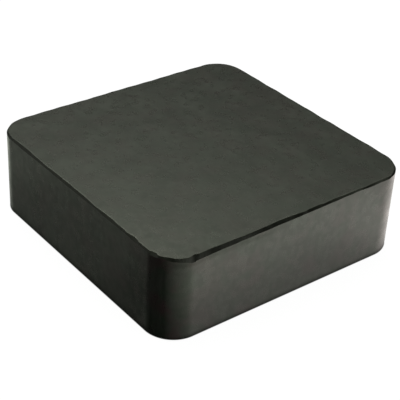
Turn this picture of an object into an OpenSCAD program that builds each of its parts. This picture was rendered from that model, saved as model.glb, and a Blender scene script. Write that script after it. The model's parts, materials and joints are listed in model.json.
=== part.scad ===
// Rubber pad for the arm of a vehicle lift.
// One compression-moulded block of solid rubber with four round upright corners.
// The mould opens at the top face, so its flash is trimmed from the top edge by hand with a knife.
// The origin is the middle of the bottom face, +Z up. The near corner is the one at +X and -Y.

/* [Block] */
// Width of the block along X
pad_w = 100; // [60:1:200]
// Depth of the block along Y
pad_d = 100; // [60:1:200]
// Thickness of the block
pad_h = 30; // [15:1:80]
// Radius of three of the upright corners
corner_r = 10.4; // [6:0.1:25]
// Radius of the upright corner at +X and +Y, which is blunter than the others
far_corner_r = 12; // [6:0.1:25]
// Radius of the bottom edge, left by the floor of the mould
bottom_r = 0.4; // [0.2:0.1:2]

/* [Trimmed top edge] */
// How far the knife cuts into the top face along the front, left and back walls
trim_inset = 0.6; // [0.2:0.05:1.5]
// How far the knife cuts down the front, left and back walls
trim_depth = 1; // [0.4:0.1:3]
// How far the knife cuts down the right wall at its near end
right_near_depth = 1.5; // [0.6:0.1:3]
// How far the knife cuts down the right wall at its far end
right_far_depth = 0.6; // [0.3:0.1:3]
// Inset of the right wall's cut for each millimetre of its depth
right_slope = 0.3; // [0.15:0.01:0.8]
// Number of knife strokes round each corner
corner_strokes = 4; // [2:1:8]

/* [Near corner] */
// How far the knife cuts into the top face round the near corner
near_inset = 0.25; // [0.1:0.05:1]
// Radius of the two scoops where the knife bit deeper
scoop_r = 2.5; // [1.5:0.1:6]
// Height of a scoop
scoop_h = 2.2; // [1:0.1:4]
// Bite of the scoop beside the right wall
right_bite = 0.75; // [0.3:0.05:1.2]
// Bite of the scoop beside the front wall
front_bite = 0.65; // [0.3:0.05:1.2]
// Angle round the corner from the right wall to its scoop
right_scoop_turn = 2; // [0:1:40]
// Angle round the corner from the front wall to its scoop
front_scoop_turn = 14; // [0:1:40]

/* [Hidden] */
$fn = 96;
rubber_colour = [0.26, 0.27, 0.245];
half_w = pad_w / 2;
half_d = pad_d / 2;
quarter_turn = 90;
// The corners are numbered anticlockwise from the one at +X and +Y
corner_count = 4;
far_corner = 0;
near_corner = 3;
// The cutters are longer and thicker than what they cut away by these
cut_size = 6;
cut_overrun = 2;

function radius_at(index) = index == far_corner ? far_corner_r : corner_r;

// Section of the block from its middle to one wall: square at the top, rounded at the bottom
module block_section(reach) {
    translate([0, bottom_r]) square([reach, pad_h - bottom_r]);
    square([reach - bottom_r, pad_h]);
    translate([reach - bottom_r, bottom_r]) circle(r = bottom_r);
}

// The part of the block behind the flat wall that runs from the last corner to this one.
// Wall 0 faces +X, and the others follow anticlockwise.
module wall_slab(index) {
    reach = index % 2 == 0 ? half_w : half_d;
    half_run = index % 2 == 0 ? half_d : half_w;
    high_end = half_run - radius_at(index);
    low_end = radius_at((index + corner_count - 1) % corner_count) - half_run;
    rotate([0, 0, index * quarter_turn])
        translate([0, high_end, 0])
            rotate([quarter_turn, 0, 0])
                linear_extrude(height = high_end - low_end) block_section(reach);
}

// Puts its children on the axis of a corner, with the corner's arc from local +X to local +Y
module at_corner(index) {
    side_x = (index == far_corner || index == near_corner) ? 1 : -1;
    side_y = index < 2 ? 1 : -1;
    translate([side_x * (half_w - radius_at(index)), side_y * (half_d - radius_at(index)), 0])
        rotate([0, 0, index * quarter_turn])
            children();
}

// The block as it leaves the mould
module moulded_block() {
    for (index = [0:corner_count - 1]) {
        wall_slab(index);
        at_corner(index) rotate_extrude() block_section(radius_at(index));
    }
}

// One flat knife cut along a top edge that lies on the local Y axis, with its wall facing +X.
// Over the run the cut gets shallower towards +Y, by fall in all.
module knife_cut(inset, depth, run, fall = 0) {
    lean = atan2(depth, inset);
    sway = atan(fall / run * cos(lean));
    translate([0, 0, -depth])
        rotate([sway, lean, 0])
            translate([-cut_size, -run / 2 - cut_overrun, 0])
                cube([2 * cut_size, run + 2 * cut_overrun, cut_size]);
}

// The knife cuts along the four straight edges, the right wall's first
module side_trims() {
    right_depth = (right_near_depth + right_far_depth) / 2;
    translate([half_w, 0, pad_h])
        knife_cut(right_slope * right_depth, right_depth, pad_d, right_near_depth - right_far_depth);
    for (side = [-1, 1])
        rotate([0, 0, side * quarter_turn])
            translate([half_d, 0, pad_h]) knife_cut(trim_inset, trim_depth, pad_w);
    rotate([0, 0, 2 * quarter_turn])
        translate([half_w, 0, pad_h]) knife_cut(trim_inset, trim_depth, pad_d);
}

// A fan of short strokes round one corner, whose depth goes evenly from one wall's to the next wall's
module corner_trim(radius, inset, first_depth, last_depth) {
    for (stroke = [0:corner_strokes - 1]) {
        part = (stroke + 0.5) / corner_strokes;
        rotate([0, 0, part * quarter_turn])
            translate([radius, 0, pad_h])
                knife_cut(inset, first_depth + part * (last_depth - first_depth), radius);
    }
}

// A round scoop in the top edge of a corner, deepest at the top face and run out at scoop_h below it
module scoop(bite) {
    tip = atan2(bite, scoop_h);
    translate([corner_r - bite + scoop_r / cos(tip), 0, pad_h])
        rotate([0, -tip, 0])
            cylinder(r = scoop_r, h = 2 * cut_size, center = true);
}

// The near corner's strokes and its two scoops
module near_corner_trim() {
    corner_trim(corner_r, near_inset, trim_depth, right_near_depth);
    rotate([0, 0, front_scoop_turn]) scoop(front_bite);
    rotate([0, 0, quarter_turn - right_scoop_turn]) scoop(right_bite);
}

module rubber_pad() {
    color(rubber_colour)
        difference() {
            moulded_block();
            side_trims();
            at_corner(far_corner) corner_trim(far_corner_r, trim_inset, right_far_depth, trim_depth);
            for (index = [1:2]) at_corner(index) corner_trim(corner_r, trim_inset, trim_depth, trim_depth);
            at_corner(near_corner) near_corner_trim();
        }
}

rubber_pad();
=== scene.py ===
"""Looks of a moulded rubber pad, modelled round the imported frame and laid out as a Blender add-on."""

import json
import math

import bmesh
import bpy
from bpy.props import FloatProperty, FloatVectorProperty, IntProperty, PointerProperty
from mathutils import Matrix, Vector

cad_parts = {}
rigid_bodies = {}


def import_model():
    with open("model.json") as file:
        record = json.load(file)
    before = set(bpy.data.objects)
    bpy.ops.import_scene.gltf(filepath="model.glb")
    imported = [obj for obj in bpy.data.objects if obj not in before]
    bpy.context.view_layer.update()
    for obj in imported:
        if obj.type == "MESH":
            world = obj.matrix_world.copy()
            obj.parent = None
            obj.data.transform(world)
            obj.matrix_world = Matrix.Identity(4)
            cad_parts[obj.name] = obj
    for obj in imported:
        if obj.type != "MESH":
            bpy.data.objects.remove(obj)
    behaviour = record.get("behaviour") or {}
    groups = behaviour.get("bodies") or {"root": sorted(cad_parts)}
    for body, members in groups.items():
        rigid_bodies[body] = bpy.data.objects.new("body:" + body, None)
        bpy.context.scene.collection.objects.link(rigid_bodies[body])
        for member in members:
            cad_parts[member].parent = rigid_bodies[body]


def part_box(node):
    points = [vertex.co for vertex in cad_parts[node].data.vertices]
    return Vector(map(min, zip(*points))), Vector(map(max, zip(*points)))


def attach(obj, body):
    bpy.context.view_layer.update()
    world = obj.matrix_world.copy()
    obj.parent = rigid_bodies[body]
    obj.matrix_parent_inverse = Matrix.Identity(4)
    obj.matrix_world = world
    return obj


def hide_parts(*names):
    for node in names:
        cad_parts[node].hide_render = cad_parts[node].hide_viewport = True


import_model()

bl_info = {
    "name": "Moulded Rubber Pad",
    "version": (1, 0, 0),
    "blender": (4, 5, 0),
    "location": "View3D > Sidebar > Rubber Pad",
    "description": "Models a solid rubber pad with a knife-trimmed top edge, and its studio",
    "category": "Add Mesh",
}

MM = 0.001
NODE = "rubber_pad"
BODY = "root"

PAD_LOW, PAD_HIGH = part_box(NODE)
PAD_SIZE = PAD_HIGH - PAD_LOW
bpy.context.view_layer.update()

# Places nearer to each other than this are the same place
CLOSE = 0.001 * MM
# A face looks one way when its normal has more than this share along it
FACING = 0.5
# A face whose normal has more than this share upright wears the material of the flat faces
FLAT_SHARE = 0.9
# Only the top face has more corners than this
FEW_CORNERS = 8
# No face of the cut has its middle lower than this below the top
CUT_REACH = 3 * MM
LIP_STEPS = 3
BOTTOM_STEPS = 4
# Width, in lip radii, of the ring inside the lip that keeps the top face's shading flat
RING_WIDTH = 2
SMOOTH_ANGLE = math.radians(12)

# The right wall faces +X and the front wall faces -Y, with the near corner between them. The far walls are
# the other two.

# Knife line of the top edge, in millimetres, settled by comparing the rendered edge with the photograph's.
# Each stretch lists (place, inset into the top face, depth down the wall). Along a wall the place is the
# distance from its middle, and round the near corner it is the angle from the right wall in degrees.
RIGHT_WALL_TRIM = [
    (-40, 0.95, 1.93), (-38.6, 0.4, 1.86), (-36, 0.42, 1.76), (-33, 0.52, 1.6), (-29, 0.4, 1.5),
    (-20, 0.3, 1.38), (-13, 0.5, 1.25), (-8, 0.8, 1.12), (-4, 0.72, 1.06), (0, 0.52, 1.03),
    (3, 0.18, 0.88), (5.5, 0.6, 0.92), (9.5, 0.68, 0.85), (11, 0.35, 0.82), (15, 0.68, 0.72),
    (22, 0.55, 0.55), (26, 0.62, 0.42), (30, 0.32, 0.6), (33, 0.62, 0.63), (36, 0.85, 0.5), (40, 0.7, 0.55)]
FRONT_WALL_TRIM = [
    (-40, 0.36, 0.8), (-36, 0.62, 0.9), (-27.5, 0.66, 0.88), (-24, 0.5, 0.78), (-17, 0.42, 0.72),
    (-8, 0.6, 0.78), (-4, 0.74, 0.82), (-1, 0.6, 0.73), (4, 0.7, 0.74), (8, 0.52, 0.66),
    (11.5, 0.3, 0.55), (14.5, 0.45, 0.65), (17, 0.6, 0.78), (21, 0.72, 0.8), (24, 0.55, 0.68),
    (27, 0.48, 0.65), (28.5, 0.2, 0.55), (30, 0.5, 0.65), (32, 0.92, 0.88), (33.5, 0.76, 0.85),
    (35, 0.32, 0.7), (38, 0.38, 0.7), (40, 0.38, 0.8)]
NEAR_CORNER_TRIM = [
    (2, 1.0, 1.85), (-3, 0.75, 2.15), (-9, 0.3, 2.1), (-13, 0.04, 1.9), (-20, 0.03, 1.55),
    (-30, 0.03, 1.35), (-38, 0.12, 1.2), (-42, 0.32, 1.15), (-47, 0.38, 1.0), (-52, 0.42, 0.7),
    (-57, 0.3, 0.65), (-62, 0.16, 0.7), (-67, 0.38, 0.8), (-73, 1.0, 1.0), (-80, 0.92, 0.95),
    (-86, 0.4, 0.8)]
# Two waves of the hand-held knife's wander, each as radians in a metre along X and along Y
WANDER_WAVES = [(410, 230), (-640, 870)]
# Share of the wander that is added to the lists of the right and the front wall
LISTED_WANDER = 0.3
# How many times further the wander goes down than in on the far walls
WANDER_DEPTH = 1.5

# Height of the surface relief on the flat faces, the walls and the knife-cut band
FACE_RELIEF = 0.12 * MM
WALL_RELIEF = 0.12 * MM
CUT_RELIEF = 0.1 * MM

# Patterns of the surface, each as (ripples in a metre, detail, roughness, distortion)
WAVE_PATTERN = (95, 1, 0.5, 0)
GRAIN_PATTERN = (480, 1, 0.5, 0)
THIN_STREAK_PATTERN = (520, 2, 0.5, 0)
BROAD_STREAK_PATTERN = (130, 1, 0.5, 0)
KNIFE_LINE_PATTERN = (1500, 2, 0.6, 0)
TORN_PATTERN = (210, 3, 0.6, 0)
# Factors on the place that draw a pattern out upright
THIN_STREAK_SQUEEZE = (1, 1, 0.05)
BROAD_STREAK_SQUEEZE = (1, 1, 0.12)
KNIFE_LINE_SQUEEZE = (1, 1, 0.3)
# Ranges of a pattern that become 0 to 1
STREAK_RANGE = (0.8, 1.2)
DRAG_RANGE = (0.62, 0.74)
TORN_RANGE = (0.5, 0.68)
KNIFE_LINE_RANGE = (0.5, 0.7)
# Masks of the moulded skin, each as its pattern and the range of it that becomes 0 to 1
SKIN_MASKS = {
    "Clouds": ((105, 3, 0.6, 0.4), 0.3, 0.7),
    "Mottle": ((300, 2, 0.6, 0), 0.3, 0.7),
    "Blotches": ((150, 2, 0.5, 0), 0.42, 0.66),
    "Patches": ((190, 2, 0.5, 0), 0.42, 0.66),
    "Speckle": ((2100, 1, 0.5, 0), 0.56, 0.74),
}

# How strongly each mask shows on the flat faces, on the walls and on the cut, where 1 is full strength. The
# mottle goes from a low to a high share.
FACE_MOTTLE = (0.05, 0.85)
FACE_CLOUDS = 1.0
FACE_STAINS = 0.22
WALL_MOTTLE = (0.1, 0.5)
WALL_STREAKS = 0.85
WALL_SPECKLE = 0.15
RIGHT_WALL_STAINS = 1.0
OTHER_WALL_STAINS = 0.35
CUT_LINES = 0.4
# Relief of the waves, the grain, the drag marks and the pressed edge, as shares of the surface's own relief
FACE_WAVES = 0.42
FACE_GRAIN = 0.15
WALL_WAVES = 0.3
WALL_GRAIN = 0.25
WALL_DRAGS = 0.03
PRESSED_DEPTH = 1.5
# What the mottle, the streaks and the tearing add to the roughness, where their mask is 0 and where it is 1
MOTTLE_ROUGHNESS = (0.04, -0.03)
STREAK_ROUGHNESS = (-0.01, 0.01)
TORN_ROUGHNESS = (0.0, 0.15)
# The right wall's share runs from none to full between these distances in from the wall
RIGHT_WALL_FADE = (8 * MM, 1 * MM)
# The pressed edge fades out between these places along Y, and rises between these distances below the top
PRESSED_FADE = (-16 * MM, 2 * MM)
PRESSED_RISE = (4 * MM, 1 * MM)

FLOOR_SIDE = 6
FLOOR_GREY = (0.12, 0.12, 0.12)
FLOOR_GLOW = 0.95
# Width of the soft edge of the painted contact shadow round the pad's foot on the floor
CONTACT_SHADOW_BLUR = 0.18 * MM
# Half height of the boxes below, so great that only level distance from them counts
ANY_HEIGHT = 1
# Painted shade on the floor that the pad mirrors: the floor is dim near a box that has this centre and these
# half sizes, near a painted shadow spot by the front wall and in a band round the foot of the pad. Each goes
# from its own level at its start to full level at its end.
SHADE_CENTRE = (-3.5 * MM, -7.5 * MM, 0)
SHADE_CORE = (33.5 * MM, 25.5 * MM, ANY_HEIGHT)
SHADE_START = 15 * MM
SHADE_END = 56 * MM
SHADE_LEVEL = 0.44
# Painted shadow spot on the floor by the front wall
SHADOW_SPOT_CENTRE = (25 * MM, -55 * MM, 0)
SHADOW_SPOT_CORE = (0, 0, ANY_HEIGHT)
SHADOW_SPOT_END = 28 * MM
SHADOW_SPOT_LEVEL = 0.62
# Band of painted shade on the floor round the foot of the pad
FOOT_SHADE_END = 1.4 * MM
FOOT_SHADE_LEVEL = 0.3

SOFT_BOX_HEIGHT = 1.2
SOFT_BOX_SIDE = 0.8
SOFT_BOX_POWER = 2.5
SENSOR_WIDTH = 36
NEAR_CLIP = 0.01

# Brightness of the room that the pad mirrors. Below the horizon it goes by bearing, from +X towards +Y in
# degrees, and falls off downwards. Above the horizon it goes by height in degrees, and by bearing too.
WORLD_PEAK = 3.9
BACKDROP = (1.0, 1.0, 1.0)
BEARING_PEAK = 1.25
# Height in degrees above and below the horizon between which the two halves of the room blend
HORIZON_BLEND = 14
LOW_SURROUNDINGS = [
    (-180, 1.35), (-174, 1.1), (-168, 0.6), (-162, 0.2), (-156, 0.38), (-150, 0.68), (-145, 0.32),
    (-138, 0.01), (-125, 0.0), (-80, 0.0), (-62, 0.12), (-42, 0.5), (-20, 0.87), (0, 1.2), (20, 1.6),
    (38, 2.2), (43, 2.2), (50, 2.0), (60, 1.82), (78, 2.02), (100, 1.82), (125, 1.6), (145, 1.4),
    (160, 1.35), (180, 1.35)]
LOW_FALL = [
    (-90, 0.0), (-62, 0.05), (-51, 0.65), (-45, 0.88), (-38, 0.97), (-31, 1.0), (-25, 0.82),
    (-19, 0.28), (-13, 0.05), (0, 0.0)]
HIGH_SURROUNDINGS = [
    (0, 0.1), (16, 0.0), (24, 0.02), (29, 0.05), (33, 0.2), (36, 1.1), (39, 3.1), (56, 2.7),
    (68, 0.8), (90, 0.2)]
HIGH_BEARINGS = [
    (-180, 0.9), (-165, 0.5), (-150, 0.2), (-90, 0.2), (60, 0.35), (110, 0.36), (125, 0.46),
    (136, 0.71), (142, 1.0), (155, 1.22), (180, 0.9)]
# A dim card beside the front wall, by height and by bearing
CARD_HEIGHTS = [(-90, 0.0), (-12, 0.0), (-2, 0.62), (26, 0.62), (40, 0.0), (90, 0.0)]
CARD_BEARINGS = [
    (-180, 0.0), (-166, 0.0), (-152, 1.0), (-116, 1.0), (-95, 0.75), (-60, 0.4), (-30, 0.2),
    (-10, 0.0), (180, 0.0)]
# Faint colour of the room, by bearing below the horizon and all round above it
LOW_TINTS = [
    (-180, (0.93, 1.0, 0.87)), (-147, (0.94, 1.0, 0.88)), (-138, (1.0, 1.0, 1.0)), (0, (1.0, 1.0, 1.0)),
    (36, (0.99, 1.0, 0.98)), (52, (1.0, 0.97, 0.97)), (70, (1.0, 0.93, 0.9)), (110, (1.0, 0.93, 0.9)),
    (140, (0.97, 1.0, 0.9)), (180, (0.95, 1.0, 0.89))]
HIGH_TINT = (0.97, 1.0, 0.95)


class PadSizes(bpy.types.PropertyGroup):
    """Sizes of the rubber block."""

    corner_radius: FloatProperty(
        name="Corner Radius", description="Radius of three of the upright corners",
        default=10.4 * MM, min=2 * MM, max=25 * MM, precision=4, unit="LENGTH")
    far_radius: FloatProperty(
        name="Far Corner Radius", description="Radius of the blunter upright corner at +X and +Y",
        default=12 * MM, min=2 * MM, max=25 * MM, precision=4, unit="LENGTH")
    corner_steps: IntProperty(
        name="Corner Steps", description="Faces round each upright corner", default=48, min=8, max=96)
    bottom_radius: FloatProperty(
        name="Bottom Edge Radius", description="Radius left on the bottom edge by the floor of the mould",
        default=0.4 * MM, min=0.1 * MM, max=2 * MM, precision=4, unit="LENGTH")
    wall_step: FloatProperty(
        name="Wall Step", description="Length of one face along a flat wall",
        default=0.5 * MM, min=0.2 * MM, max=5 * MM, precision=4, unit="LENGTH")
    trim_inset: FloatProperty(
        name="Trim Inset", description="How far the knife cuts into the top face on the far walls",
        default=0.5 * MM, min=0.1 * MM, max=2 * MM, precision=4, unit="LENGTH")
    trim_depth: FloatProperty(
        name="Trim Depth", description="How far the knife cuts down the far walls",
        default=0.7 * MM, min=0.3 * MM, max=3 * MM, precision=4, unit="LENGTH")
    trim_waver: FloatProperty(
        name="Trim Waver", description="How far the hand-held knife wanders",
        default=0.07 * MM, min=0.0, max=0.5 * MM, precision=5, unit="LENGTH")
    lip_radius: FloatProperty(
        name="Lip Radius", description="Softness of the edge between the top face and the cut",
        default=0.12 * MM, min=0.02 * MM, max=0.5 * MM, precision=5, unit="LENGTH")


class RubberFinish(bpy.types.PropertyGroup):
    """Colours and surface of the rubber."""

    skin_colour: FloatVectorProperty(
        name="Skin Colour", description="Colour of the moulded skin",
        subtype="COLOR", size=3, min=0.0, max=1.0, default=(0.0052, 0.0056, 0.0047))
    bloom_colour: FloatVectorProperty(
        name="Bloom Colour", description="Colour of the pale greenish bloom that lies in clouds on the skin",
        subtype="COLOR", size=3, min=0.0, max=1.0, default=(0.0245, 0.0264, 0.0217))
    stain_colour: FloatVectorProperty(
        name="Stain Colour", description="Colour of the faint pinkish stains",
        subtype="COLOR", size=3, min=0.0, max=1.0, default=(0.0275, 0.0120, 0.0155))
    patch_colour: FloatVectorProperty(
        name="Patch Colour", description="Colour of the faint greenish patches between the stains",
        subtype="COLOR", size=3, min=0.0, max=1.0, default=(0.0102, 0.0180, 0.0105))
    cut_colour: FloatVectorProperty(
        name="Cut Colour", description="Colour of the knife-cut band",
        subtype="COLOR", size=3, min=0.0, max=1.0, default=(0.0105, 0.0114, 0.0086))
    torn_colour: FloatVectorProperty(
        name="Torn Colour", description="Colour where the knife tore the rubber rather than cut it",
        subtype="COLOR", size=3, min=0.0, max=1.0, default=(0.0175, 0.0192, 0.0148))
    sheen_tint: FloatVectorProperty(
        name="Sheen Tint", description="Colour that the rubber gives to what it mirrors",
        subtype="COLOR", size=3, min=0.0, max=1.0, default=(0.92, 1.0, 0.77))
    skin_roughness: FloatProperty(
        name="Skin Roughness", description="Roughness of the moulded skin", default=0.3, min=0.0, max=1.0)
    cut_roughness: FloatProperty(
        name="Cut Roughness", description="Roughness of the knife-cut band", default=0.36, min=0.0, max=1.0)
    cut_gloss: FloatProperty(
        name="Cut Gloss", description="Specular level of the knife-cut band", default=0.22, min=0.0, max=1.0)


class StudioSetup(bpy.types.PropertyGroup):
    """Camera and lights."""

    azimuth: FloatProperty(
        name="Azimuth", description="Camera's bearing round the pad",
        default=math.radians(50.746), subtype="ANGLE")
    elevation: FloatProperty(
        name="Elevation", description="Camera's height above the horizon",
        default=math.radians(32.251), subtype="ANGLE")
    roll: FloatProperty(
        name="Roll", description="Camera's turn about its own line of sight",
        default=math.radians(3.204), subtype="ANGLE")
    distance: FloatProperty(
        name="Distance", description="From the camera to its target",
        default=402.8 * MM, min=0.1, max=5.0, precision=4, unit="LENGTH")
    lens: FloatProperty(
        name="Lens", description="Focal length in millimetres on a 36 mm sensor",
        default=103.24, min=10, max=300)
    target: FloatVectorProperty(
        name="Target", description="Point that the camera looks at",
        default=(-2.62 * MM, 3.39 * MM, 6.18 * MM), subtype="XYZ", unit="LENGTH")


def deselect_all():
    """Leaves no object selected."""
    for thing in bpy.context.view_layer.objects.selected[:]:
        thing.select_set(False)


def select_parts(mesh, kind, wanted):
    """Selects the edges or faces, as the kind says, for which wanted(part) is true, in edit mode."""
    bpy.ops.mesh.select_all(action="DESELECT")
    shape = bmesh.from_edit_mesh(mesh)
    for part in [part for part in getattr(shape, kind) if wanted(part)]:
        part.select_set(True)
    shape.select_flush_mode()
    bmesh.update_edit_mesh(mesh)


def upright(edge):
    """True for an edge that runs up more than half of the pad."""
    low, high = sorted(vert.co.z for vert in edge.verts)
    return high - low > PAD_SIZE.z / 2


def at_height(edge, height):
    """True for an edge whose ends both lie at a height."""
    return all(abs(vert.co.z - height) < CLOSE for vert in edge.verts)


def ease(share):
    """A share from 0 to 1 that starts and ends gently."""
    return share * share * (3 - 2 * share)


def along_list(stops, place):
    """Inset and depth at a place, eased between the stops of a list."""
    ordered = sorted(stops)
    if place <= ordered[0][0]:
        return Vector(ordered[0][1:])
    for low, high in zip(ordered, ordered[1:]):
        if place <= high[0]:
            share = ease((place - low[0]) / (high[0] - low[0]))
            return Vector(low[1:]).lerp(Vector(high[1:]), share)
    return Vector(ordered[-1][1:])


def radius_at(sizes, side_x, side_y):
    """Radius of the upright corner on the side of the pad that two signs or places name."""
    return sizes.far_radius if side_x > 0 and side_y > 0 else sizes.corner_radius


def outward(point, sizes):
    """Level unit direction out of the rounded outline at a point on it."""
    radius = radius_at(sizes, point.x, point.y)
    core_x = max(-(PAD_HIGH.x - radius), min(PAD_HIGH.x - radius, point.x))
    core_y = max(-(PAD_HIGH.y - radius), min(PAD_HIGH.y - radius, point.y))
    return Vector((point.x - core_x, point.y - core_y, 0)).normalized()


def knife_trim(point, sizes):
    """Inset and depth of the knife cut, in metres, nearest to a point of the top outline."""
    flat_x = PAD_HIGH.x - sizes.corner_radius
    flat_y = PAD_HIGH.y - sizes.corner_radius
    waves = sum(math.sin(point.x * wave_x + point.y * wave_y) for wave_x, wave_y in WANDER_WAVES)
    wander = sizes.trim_waver * waves
    listed_wander = Vector((wander, wander)) * LISTED_WANDER
    if point.x > flat_x and point.y < -flat_y:
        angle = math.degrees(math.atan2(point.y + flat_y, point.x - flat_x))
        return along_list(NEAR_CORNER_TRIM, angle) * MM
    if point.x > flat_x and abs(point.y) <= flat_y:
        return along_list(RIGHT_WALL_TRIM, point.y / MM) * MM + listed_wander
    if point.y < -flat_y and abs(point.x) <= flat_x:
        return along_list(FRONT_WALL_TRIM, point.x / MM) * MM + listed_wander
    return Vector((sizes.trim_inset + wander, sizes.trim_depth + WANDER_DEPTH * wander))


class PAD_OT_rubber_pad(bpy.types.Operator):
    """Models the rubber block with its round corners and hand-trimmed top edge"""

    bl_idname = "pad.rubber_pad"
    bl_label = "Rubber Pad"

    def execute(self, context):
        sizes = context.scene.pad_sizes
        deselect_all()
        bpy.ops.mesh.primitive_cube_add(size=1, location=(PAD_LOW + PAD_HIGH) / 2, scale=PAD_SIZE)
        pad = context.object
        pad.name = pad.data.name = "moulded_rubber_block"
        bpy.ops.object.transform_apply(location=True, rotation=True, scale=True)
        bpy.ops.object.mode_set(mode="EDIT")
        bpy.ops.mesh.select_mode(type="EDGE")
        self.cut_wall_steps(pad.data, sizes)
        self.round_corners(pad.data, sizes)
        self.trim_top_edge(pad.data, sizes)
        self.round_bottom_edge(pad.data, sizes)
        bpy.ops.object.mode_set(mode="OBJECT")
        self.dress(context, pad)
        return {"FINISHED"}

    def at_corner(self, edge, corner):
        """True for an edge that stands at a corner of the plan."""
        return all((vert.co.xy - corner.xy).length < CLOSE for vert in edge.verts)

    def cut_wall_steps(self, mesh, sizes):
        """Cuts each wall into narrow upright strips between its two round corners."""
        x_way = Vector((1, 0, 0))
        y_way = Vector((0, 1, 0))
        for away, along in ((x_way, y_way), (-x_way, y_way), (y_way, x_way), (-y_way, x_way)):
            half = PAD_HIGH.dot(along)
            first = radius_at(sizes, *(away - along).xy) - half
            last = half - radius_at(sizes, *(away + along).xy)
            count = round((last - first) / sizes.wall_step)
            for step in range(1, count):
                select_parts(mesh, "faces", lambda face: face.normal.dot(away) > FACING)
                bpy.ops.mesh.bisect(plane_co=along * (first + (last - first) * step / count), plane_no=along)

    def round_corners(self, mesh, sizes):
        """Rounds the four upright corners, each to its own radius."""
        for side_x in (1, -1):
            for side_y in (1, -1):
                corner = Vector((side_x * PAD_HIGH.x, side_y * PAD_HIGH.y, 0))
                select_parts(mesh, "edges", lambda edge: upright(edge) and self.at_corner(edge, corner))
                bpy.ops.mesh.bevel(
                    offset=radius_at(sizes, side_x, side_y), segments=sizes.corner_steps,
                    affect="EDGES", offset_type="OFFSET")

    def trim_top_edge(self, mesh, sizes):
        """Insets the top face, moves both edges of the cut as the knife went, and softens the upper one."""
        top = PAD_HIGH.z
        bpy.ops.mesh.select_mode(type="FACE")
        select_parts(mesh, "faces", lambda face: face.normal.z > FACING)
        bpy.ops.mesh.inset(thickness=sizes.trim_inset, depth=0, use_even_offset=True)
        shape = bmesh.from_edit_mesh(mesh)
        for vert in shape.verts:
            if abs(vert.co.z - top) > CLOSE:
                continue
            away = outward(vert.co, sizes)
            on_wall = any(abs(face.normal.z) < FACING for face in vert.link_faces)
            rim = vert.co + away * (0 if on_wall else sizes.trim_inset)
            inset, depth = knife_trim(rim, sizes)
            if on_wall:
                vert.co.z = top - depth
            else:
                vert.co = rim - away * inset
                vert.co.z = top
        bmesh.update_edit_mesh(mesh)
        bpy.ops.mesh.select_mode(type="EDGE")
        select_parts(mesh, "edges", lambda edge: at_height(edge, top) and len(edge.link_faces) == 2)
        bpy.ops.mesh.bevel(offset=sizes.lip_radius, segments=LIP_STEPS, affect="EDGES", offset_type="OFFSET")
        select_parts(mesh, "faces", lambda face: face.normal.z > FACING and len(face.verts) > FEW_CORNERS)
        bpy.ops.mesh.inset(thickness=RING_WIDTH * sizes.lip_radius, depth=0, use_even_offset=True)
        select_parts(mesh, "edges", self.between_wall_and_cut)
        bpy.ops.mesh.mark_sharp()

    def between_wall_and_cut(self, edge):
        """True for an edge with a tall wall face on one side and a face of the cut on the other."""
        low = [face for face in edge.link_faces if face.calc_center_median().z < PAD_HIGH.z - CUT_REACH]
        return len(low) == 1 and not upright(edge) and not at_height(edge, PAD_LOW.z)

    def round_bottom_edge(self, mesh, sizes):
        """Rounds the edge all round the bottom face."""
        bpy.ops.mesh.select_mode(type="EDGE")
        select_parts(mesh, "edges", lambda edge: at_height(edge, PAD_LOW.z))
        bpy.ops.mesh.bevel(
            offset=sizes.bottom_radius, segments=BOTTOM_STEPS, affect="EDGES", offset_type="OFFSET")

    def dress(self, context, pad):
        """Gives the block its three materials, its shading and its place in the frame."""
        finish = context.scene.rubber_finish
        shared = {
            "clouds": cloud_group(),
            "streaks": streak_group(),
            "grain": grain_group(),
            "knife": knife_group(),
        }
        for make in (face_material, wall_material, cut_material):
            pad.data.materials.append(make(finish, shared))
        for face in pad.data.polygons:
            face.material_index = self.material_for(face)
        deselect_all()
        pad.select_set(True)
        context.view_layer.objects.active = pad
        bpy.ops.object.shade_smooth_by_angle(angle=SMOOTH_ANGLE)
        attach(pad, BODY)
        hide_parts(NODE)

    def material_for(self, face):
        """Slot of the flat faces (0), the walls (1) or the knife-cut band (2)."""
        if abs(face.normal.z) > FLAT_SHARE:
            return 0
        if face.center.z > PAD_HIGH.z - CUT_REACH:
            return 2
        return 1


def new_group(name, inputs, outputs):
    """A shader node group, whose inputs are (name, socket type, default) and outputs (name, socket type)."""
    group = bpy.data.node_groups.new(name, "ShaderNodeTree")
    for label, kind, value in inputs:
        socket = group.interface.new_socket(label, in_out="INPUT", socket_type=kind)
        if value is not None:
            socket.default_value = value
    for label, kind in outputs:
        group.interface.new_socket(label, in_out="OUTPUT", socket_type=kind)
    return group, group.nodes.new("NodeGroupInput").outputs, group.nodes.new("NodeGroupOutput").inputs


def add_node(tree, kind, **settings):
    """Adds a node, sets its properties, and links or sets its inputs given as a dict named sockets."""
    node = tree.nodes.new(kind)
    sockets = settings.pop("sockets", {})
    for name, value in settings.items():
        setattr(node, name, value)
    for name, value in sockets.items():
        if isinstance(value, bpy.types.NodeSocket):
            tree.links.new(value, node.inputs[name])
        else:
            node.inputs[name].default_value = value
    return node


def use_group(tree, group, **sockets):
    """Puts a shared group into a node tree, with its inputs given by name."""
    return add_node(tree, "ShaderNodeGroup", node_tree=group, sockets=sockets).outputs


def calc(tree, operation, first, second=0.0):
    """A Math node's result, from one or two values."""
    return add_node(tree, "ShaderNodeMath", operation=operation, sockets={0: first, 1: second}).outputs[0]


def vector_calc(tree, operation, first, second=(0, 0, 0)):
    """A Vector Math node's result, from one or two vectors."""
    node = add_node(tree, "ShaderNodeVectorMath", operation=operation, sockets={0: first, 1: second})
    return node.outputs[0]


def noise(tree, where, pattern):
    """Noise at a place, in a pattern given as (ripples in a metre, detail, roughness, distortion)."""
    scale, detail, roughness, distortion = pattern
    return add_node(tree, "ShaderNodeTexNoise", sockets={
        "Vector": where, "Scale": scale, "Detail": detail, "Roughness": roughness,
        "Distortion": distortion}).outputs["Fac"]


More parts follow.
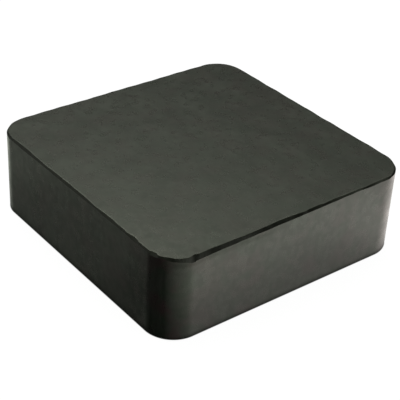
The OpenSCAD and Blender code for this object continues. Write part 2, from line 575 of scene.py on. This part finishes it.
def spread(tree, value, low, high, to_low=0.0, to_high=1.0, easing="SMOOTHSTEP"):
    """A value remapped from one range to another and held inside it."""
    node = add_node(tree, "ShaderNodeMapRange", interpolation_type=easing, sockets={
        "Value": value, "From Min": low, "From Max": high, "To Min": to_low, "To Max": to_high})
    return node.outputs["Result"]


def blend(tree, share, first, second, blend_type="MIX"):
    """Two colours blended by a share."""
    node = add_node(tree, "ShaderNodeMix", data_type="RGBA", blend_type=blend_type,
                    sockets={0: share, 6: first, 7: second})
    return node.outputs[2]


def product(tree, first, *others):
    """Colours multiplied together."""
    for other in others:
        first = blend(tree, 1.0, first, other, "MULTIPLY")
    return first


def colour(rgb):
    """A colour with full alpha, as a socket takes it."""
    return (*rgb, 1.0)


def cloud_group():
    """Clouds of bloom, a fine mottle, blotches, patches and a fine speckle, as masks from 0 to 1."""
    group, given, made = new_group(
        "rubber_clouds", [("Place", "NodeSocketVector", None)],
        [(label, "NodeSocketFloat") for label in SKIN_MASKS])
    for label, (pattern, low, high) in SKIN_MASKS.items():
        group.links.new(spread(group, noise(group, given["Place"], pattern), low, high), made[label])
    return group


def streak_group():
    """Faint upright streaks and a few drag marks from the mould's walls, as masks from 0 to 1."""
    group, given, made = new_group(
        "mould_streaks", [("Place", "NodeSocketVector", None)],
        [("Streaks", "NodeSocketFloat"), ("Drags", "NodeSocketFloat")])
    thin_place = vector_calc(group, "MULTIPLY", given["Place"], THIN_STREAK_SQUEEZE)
    broad_place = vector_calc(group, "MULTIPLY", given["Place"], BROAD_STREAK_SQUEEZE)
    thin = noise(group, thin_place, THIN_STREAK_PATTERN)
    broad = noise(group, broad_place, BROAD_STREAK_PATTERN)
    group.links.new(spread(group, calc(group, "ADD", thin, broad), *STREAK_RANGE), made["Streaks"])
    group.links.new(spread(group, thin, *DRAG_RANGE), made["Drags"])
    return group


def grain_group():
    """Height of the moulded skin: low waves and a fine grain."""
    group, given, made = new_group(
        "skin_grain",
        [("Place", "NodeSocketVector", None), ("Waves", "NodeSocketFloat", 1.0),
         ("Grain", "NodeSocketFloat", 1.0)],
        [("Height", "NodeSocketFloat")])
    waves = calc(group, "MULTIPLY", noise(group, given["Place"], WAVE_PATTERN), given["Waves"])
    grain = calc(group, "MULTIPLY", noise(group, given["Place"], GRAIN_PATTERN), given["Grain"])
    group.links.new(calc(group, "ADD", waves, grain), made["Height"])
    return group


def knife_group():
    """The knife's fine lines across the cut, and patches where it tore."""
    group, given, made = new_group(
        "knife_marks", [("Place", "NodeSocketVector", None)],
        [("Lines", "NodeSocketFloat"), ("Torn", "NodeSocketFloat")])
    line_place = vector_calc(group, "MULTIPLY", given["Place"], KNIFE_LINE_SQUEEZE)
    group.links.new(noise(group, line_place, KNIFE_LINE_PATTERN), made["Lines"])
    group.links.new(spread(group, noise(group, given["Place"], TORN_PATTERN), *TORN_RANGE), made["Torn"])
    return group


def start_material(name, finish):
    """A new material, its node tree, its shader and the place on the pad in its own coordinates."""
    material = bpy.data.materials.new(name)
    material.use_nodes = True
    tree = material.node_tree
    shader = tree.nodes["Principled BSDF"]
    shader.inputs["Specular Tint"].default_value = colour(finish.sheen_tint)
    return material, tree, shader, add_node(tree, "ShaderNodeTexCoord").outputs["Object"]


def add_bump(tree, shader, height, distance):
    """Feeds a height into the shader's normal, with the height's full range worth a distance."""
    bump = add_node(tree, "ShaderNodeBump", sockets={
        "Height": height, "Distance": distance, "Strength": 1.0})
    tree.links.new(bump.outputs["Normal"], shader.inputs["Normal"])


def skin_tint(tree, masks, finish, low, high):
    """The moulded skin's colour, with a low to a high share of bloom as its mottle goes."""
    share = spread(tree, masks["Mottle"], 0, 1, low, high)
    return blend(tree, share, colour(finish.skin_colour), colour(finish.bloom_colour))


def skin_roughness(tree, masks, finish):
    """The moulded skin's roughness, smoother where the mottle is strong."""
    return calc(tree, "ADD", spread(tree, masks["Mottle"], 0, 1, *MOTTLE_ROUGHNESS), finish.skin_roughness)


def wash(tree, tint, mask, strength, over):
    """A tint with another colour laid over it where a mask is, as strongly as a share says."""
    return blend(tree, calc(tree, "MULTIPLY", mask, strength), tint, colour(over))


def face_material(finish, shared):
    """Moulded skin of the two flat faces, with bloom in soft clouds and a faint tint of stains."""
    material, tree, shader, where = start_material("moulded_face", finish)
    masks = use_group(tree, shared["clouds"], Place=where)
    tint = skin_tint(tree, masks, finish, *FACE_MOTTLE)
    tint = wash(tree, tint, masks["Clouds"], FACE_CLOUDS, finish.bloom_colour)
    tint = wash(tree, tint, masks["Patches"], FACE_STAINS, finish.patch_colour)
    tint = wash(tree, tint, masks["Blotches"], FACE_STAINS, finish.stain_colour)
    tree.links.new(tint, shader.inputs["Base Color"])
    tree.links.new(skin_roughness(tree, masks, finish), shader.inputs["Roughness"])
    height = use_group(tree, shared["grain"], Place=where, Waves=FACE_WAVES, Grain=FACE_GRAIN)["Height"]
    add_bump(tree, shader, height, FACE_RELIEF)
    return material


def wall_material(finish, shared):
    """Moulded skin of the walls, with upright streaks from the mould, stains and a pressed edge."""
    material, tree, shader, where = start_material("moulded_wall", finish)
    masks = use_group(tree, shared["clouds"], Place=where)
    streaks = use_group(tree, shared["streaks"], Place=where)
    stained = right_wall_share(tree, where, OTHER_WALL_STAINS, RIGHT_WALL_STAINS)
    tint = skin_tint(tree, masks, finish, *WALL_MOTTLE)
    tint = wash(tree, tint, streaks["Streaks"], WALL_STREAKS, finish.bloom_colour)
    tint = wash(tree, tint, masks["Patches"], stained, finish.patch_colour)
    tint = wash(tree, tint, masks["Blotches"], stained, finish.stain_colour)
    tint = wash(tree, tint, masks["Speckle"], WALL_SPECKLE, finish.bloom_colour)
    tree.links.new(tint, shader.inputs["Base Color"])
    streak_roughness = spread(tree, streaks["Streaks"], 0, 1, *STREAK_ROUGHNESS)
    rough = calc(tree, "ADD", skin_roughness(tree, masks, finish), streak_roughness)
    tree.links.new(rough, shader.inputs["Roughness"])
    height = use_group(tree, shared["grain"], Place=where, Waves=WALL_WAVES, Grain=WALL_GRAIN)["Height"]
    height = calc(tree, "ADD", height, calc(tree, "MULTIPLY", streaks["Drags"], WALL_DRAGS))
    pressed = calc(tree, "MULTIPLY", pressed_share(tree, where), PRESSED_DEPTH)
    height = calc(tree, "SUBTRACT", height, pressed)
    add_bump(tree, shader, height, WALL_RELIEF)
    return material


def right_wall_share(tree, where, elsewhere, there):
    """One value away from the right wall and another on it."""
    place = add_node(tree, "ShaderNodeSeparateXYZ", sockets={0: where}).outputs
    start, full = RIGHT_WALL_FADE
    return spread(tree, place["X"], PAD_HIGH.x - start, PAD_HIGH.x - full, elsewhere, there)


def pressed_share(tree, where):
    """1 at the top of the right wall's near half, where the knife pressed the edge in, and 0 elsewhere."""
    place = add_node(tree, "ShaderNodeSeparateXYZ", sockets={0: where}).outputs
    start, full = PRESSED_RISE
    rise = spread(tree, place["Z"], PAD_HIGH.z - start, PAD_HIGH.z - full)
    near_half = spread(tree, place["Y"], *PRESSED_FADE, 1.0, 0.0)
    on_wall = right_wall_share(tree, where, 0.0, 1.0)
    return calc(tree, "MULTIPLY", rise, calc(tree, "MULTIPLY", near_half, on_wall))


def cut_material(finish, shared):
    """Knife-cut rubber: duller than the skin, with the knife's lines across it."""
    material, tree, shader, where = start_material("knife_cut", finish)
    marks = use_group(tree, shared["knife"], Place=where)
    tint = blend(tree, marks["Torn"], colour(finish.cut_colour), colour(finish.torn_colour))
    line_share = spread(tree, marks["Lines"], *KNIFE_LINE_RANGE, 0.0, CUT_LINES)
    tint = blend(tree, line_share, tint, colour(finish.torn_colour))
    tree.links.new(tint, shader.inputs["Base Color"])
    rough = calc(tree, "ADD", spread(tree, marks["Torn"], 0, 1, *TORN_ROUGHNESS), finish.cut_roughness)
    tree.links.new(rough, shader.inputs["Roughness"])
    shader.inputs["Specular IOR Level"].default_value = finish.cut_gloss
    add_bump(tree, shader, marks["Lines"], CUT_RELIEF)
    return material


class PAD_OT_studio(bpy.types.Operator):
    """Makes the floor, the lights and the camera"""

    bl_idname = "pad.studio"
    bl_label = "Studio"

    def execute(self, context):
        studio = context.scene.studio_setup
        self.make_floor()
        self.make_lights(context)
        self.make_camera(context, studio)
        context.scene.view_settings.view_transform = "Standard"
        return {"FINISHED"}

    def make_floor(self):
        """A pale floor with a painted contact shadow round the pad's foot, which rays from the pad pass
        through, dimmed by painted shade near its foot, so that the pad mirrors the surroundings.
        """
        deselect_all()
        bpy.ops.mesh.primitive_plane_add(size=FLOOR_SIDE, location=(0, 0, PAD_LOW.z))
        floor = bpy.context.object
        floor.name = "studio_floor"
        material = bpy.data.materials.new("studio_floor")
        material.use_nodes = True
        tree = material.node_tree
        tree.nodes.clear()
        plain = add_node(tree, "ShaderNodeBsdfDiffuse", sockets={"Color": colour(FLOOR_GREY)})
        # The floor's glow carries a painted contact shadow round the pad's foot
        glow = add_node(tree, "ShaderNodeEmission", sockets={
            "Color": self.contact_shadow_line(tree), "Strength": FLOOR_GLOW})
        seen = add_node(tree, "ShaderNodeAddShader", sockets={0: plain.outputs[0], 1: glow.outputs[0]})
        # Rays from the pad pass through the floor, dimmed by painted shade near the pad's foot
        passed = add_node(tree, "ShaderNodeBsdfTransparent", sockets={"Color": self.contact_shade(tree)})
        path = add_node(tree, "ShaderNodeLightPath")
        mix = add_node(tree, "ShaderNodeMixShader", sockets={"Fac": path.outputs["Is Camera Ray"]})
        tree.links.new(passed.outputs[0], mix.inputs[1])
        tree.links.new(seen.outputs[0], mix.inputs[2])
        add_node(tree, "ShaderNodeOutputMaterial", sockets={"Surface": mix.outputs[0]})
        floor.data.materials.append(material)

    def gap(self, tree, centre, core):
        """Level distance on the floor from a box about a centre, whose half sizes are the core."""
        where = add_node(tree, "ShaderNodeTexCoord").outputs["Object"]
        folded = vector_calc(tree, "ABSOLUTE", vector_calc(tree, "SUBTRACT", where, centre))
        outside = vector_calc(tree, "MAXIMUM", vector_calc(tree, "SUBTRACT", folded, core))
        length = add_node(tree, "ShaderNodeVectorMath", operation="LENGTH", sockets={0: outside})
        return length.outputs["Value"]

    def beyond_foot(self, tree):
        """Level distance on the floor from the outline of the pad, below zero inside it."""
        sizes = bpy.context.scene.pad_sizes
        usual = sizes.corner_radius
        blunt = sizes.far_radius
        square = self.gap(tree, (0, 0, 0), (PAD_HIGH.x - usual, PAD_HIGH.y - usual, ANY_HEIGHT))
        # The second box reaches past the pad's other three corners, so that only the blunt one counts
        reach = PAD_SIZE.x
        blunt_core = (PAD_HIGH.x + reach - blunt, PAD_HIGH.y + reach - blunt, ANY_HEIGHT)
        far = self.gap(tree, (-reach, -reach, 0), blunt_core)
        beyond_square = calc(tree, "SUBTRACT", square, usual)
        beyond_blunt = calc(tree, "SUBTRACT", far, blunt)
        return calc(tree, "MAXIMUM", beyond_square, beyond_blunt)

    def contact_shadow_line(self, tree):
        """Black under the pad, with a thin soft painted contact shadow round its foot, and white beyond."""
        return spread(tree, self.beyond_foot(tree), -CONTACT_SHADOW_BLUR, CONTACT_SHADOW_BLUR)

    def contact_shade(self, tree):
        """Painted shade for the floor that the pad mirrors: a level that falls towards the foot of the pad,
        in place of the shadow the pad casts there.
        """
        box_gap = self.gap(tree, SHADE_CENTRE, SHADE_CORE)
        wide = spread(tree, box_gap, SHADE_START, SHADE_END, SHADE_LEVEL, 1.0, "SMOOTHERSTEP")
        spot = spread(tree, self.gap(tree, SHADOW_SPOT_CENTRE, SHADOW_SPOT_CORE), 0, SHADOW_SPOT_END, SHADOW_SPOT_LEVEL, 1.0)
        band = spread(tree, self.beyond_foot(tree), 0, FOOT_SHADE_END, FOOT_SHADE_LEVEL, 1.0)
        return calc(tree, "MULTIPLY", calc(tree, "MULTIPLY", wide, spot), band)

    def ramp(self, tree, level, stops, peak=1):
        """A ramp through stops of (place, brightness or colour), in shares of the peak."""
        low = stops[0][0]
        high = stops[-1][0]
        share = add_node(tree, "ShaderNodeMapRange", sockets={
            "Value": level, "From Min": low, "From Max": high}).outputs["Result"]
        node = add_node(tree, "ShaderNodeValToRGB", sockets={"Fac": share})
        node.color_ramp.interpolation = "LINEAR"
        points = node.color_ramp.elements
        while len(points) < len(stops):
            points.new(0.5)
        for point, (place, value) in zip(points, stops):
            rgb = value if isinstance(value, tuple) else (value,) * 3
            point.position = (place - low) / (high - low)
            point.color = colour(Vector(rgb) / peak)
        return node.outputs["Color"]

    def make_surroundings(self, context):
        """The room that the pad mirrors: bright above and towards +X and +Y, and dark towards -Y."""
        world = bpy.data.worlds.new("studio_world")
        world.use_nodes = True
        tree = world.node_tree
        way = add_node(tree, "ShaderNodeTexCoord").outputs["Generated"]
        parts = add_node(tree, "ShaderNodeSeparateXYZ", sockets={0: way}).outputs
        bearing = calc(tree, "DEGREES", calc(tree, "ARCTAN2", parts["Y"], parts["X"]))
        rise = calc(tree, "DEGREES", calc(tree, "ARCSINE", parts["Z"]))
        low = product(
            tree, self.ramp(tree, bearing, LOW_SURROUNDINGS, WORLD_PEAK), self.ramp(tree, rise, LOW_FALL),
            self.ramp(tree, bearing, LOW_TINTS))
        high = product(
            tree, self.ramp(tree, rise, HIGH_SURROUNDINGS, WORLD_PEAK / BEARING_PEAK),
            self.ramp(tree, bearing, HIGH_BEARINGS, BEARING_PEAK), colour(HIGH_TINT))
        card = product(
            tree, self.ramp(tree, rise, CARD_HEIGHTS, WORLD_PEAK), self.ramp(tree, bearing, CARD_BEARINGS))
        both = blend(tree, spread(tree, rise, -HORIZON_BLEND, HORIZON_BLEND), low, high)
        mirrored = blend(tree, 1.0, both, card, "ADD")
        seen = add_node(tree, "ShaderNodeLightPath").outputs["Is Camera Ray"]
        back = tree.nodes["Background"]
        plain = colour(Vector(BACKDROP) / WORLD_PEAK)
        tree.links.new(blend(tree, seen, mirrored, plain), back.inputs["Color"])
        back.inputs["Strength"].default_value = WORLD_PEAK
        context.scene.world = world

    def make_lights(self, context):
        """The room, and one dim soft box straight above the pad."""
        self.make_surroundings(context)
        deselect_all()
        bpy.ops.object.light_add(type="AREA", location=(0, 0, SOFT_BOX_HEIGHT))
        box = context.object
        box.name = box.data.name = "studio_soft_box"
        box.data.shape = "SQUARE"
        box.data.size = SOFT_BOX_SIDE
        box.data.energy = SOFT_BOX_POWER

    def make_camera(self, context, studio):
        """The camera, at its bearing, height and roll about the target."""
        lens = bpy.data.cameras.new("photo_camera")
        lens.lens = studio.lens
        lens.sensor_width = SENSOR_WIDTH
        lens.clip_start = NEAR_CLIP
        camera = bpy.data.objects.new("photo_camera", lens)
        context.scene.collection.objects.link(camera)
        turn, rise, roll = studio.azimuth, studio.elevation, studio.roll
        back = Vector((math.sin(turn) * math.cos(rise), -math.cos(turn) * math.cos(rise), math.sin(rise)))
        level = Vector((math.cos(turn), math.sin(turn), 0))
        steep = back.cross(level)
        right = math.cos(roll) * level + math.sin(roll) * steep
        up = -math.sin(roll) * level + math.cos(roll) * steep
        place = Vector(studio.target) + back * studio.distance
        camera.matrix_world = Matrix.Translation(place) @ Matrix((right, up, back)).transposed().to_4x4()
        context.scene.camera = camera


class PAD_PT_panel(bpy.types.Panel):
    """Lists the pad's sizes, finish and studio"""

    bl_idname = "PAD_PT_panel"
    bl_label = "Rubber Pad"
    bl_space_type = "VIEW_3D"
    bl_region_type = "UI"
    bl_category = "Rubber Pad"

    def draw(self, context):
        layout = self.layout
        for group in (context.scene.pad_sizes, context.scene.rubber_finish, context.scene.studio_setup):
            box = layout.box()
            for name in group.__annotations__:
                box.prop(group, name)
        layout.operator("pad.rubber_pad")
        layout.operator("pad.studio")


CLASSES = (PadSizes, RubberFinish, StudioSetup, PAD_OT_rubber_pad, PAD_OT_studio, PAD_PT_panel)


def register():
    for one in CLASSES:
        bpy.utils.register_class(one)
    bpy.types.Scene.pad_sizes = PointerProperty(type=PadSizes)
    bpy.types.Scene.rubber_finish = PointerProperty(type=RubberFinish)
    bpy.types.Scene.studio_setup = PointerProperty(type=StudioSetup)


def unregister():
    del bpy.types.Scene.studio_setup
    del bpy.types.Scene.rubber_finish
    del bpy.types.Scene.pad_sizes
    for one in reversed(CLASSES):
        bpy.utils.unregister_class(one)


def main():
    register()
    bpy.ops.pad.rubber_pad()
    bpy.ops.pad.studio()


if __name__ == "__main__":
    main()
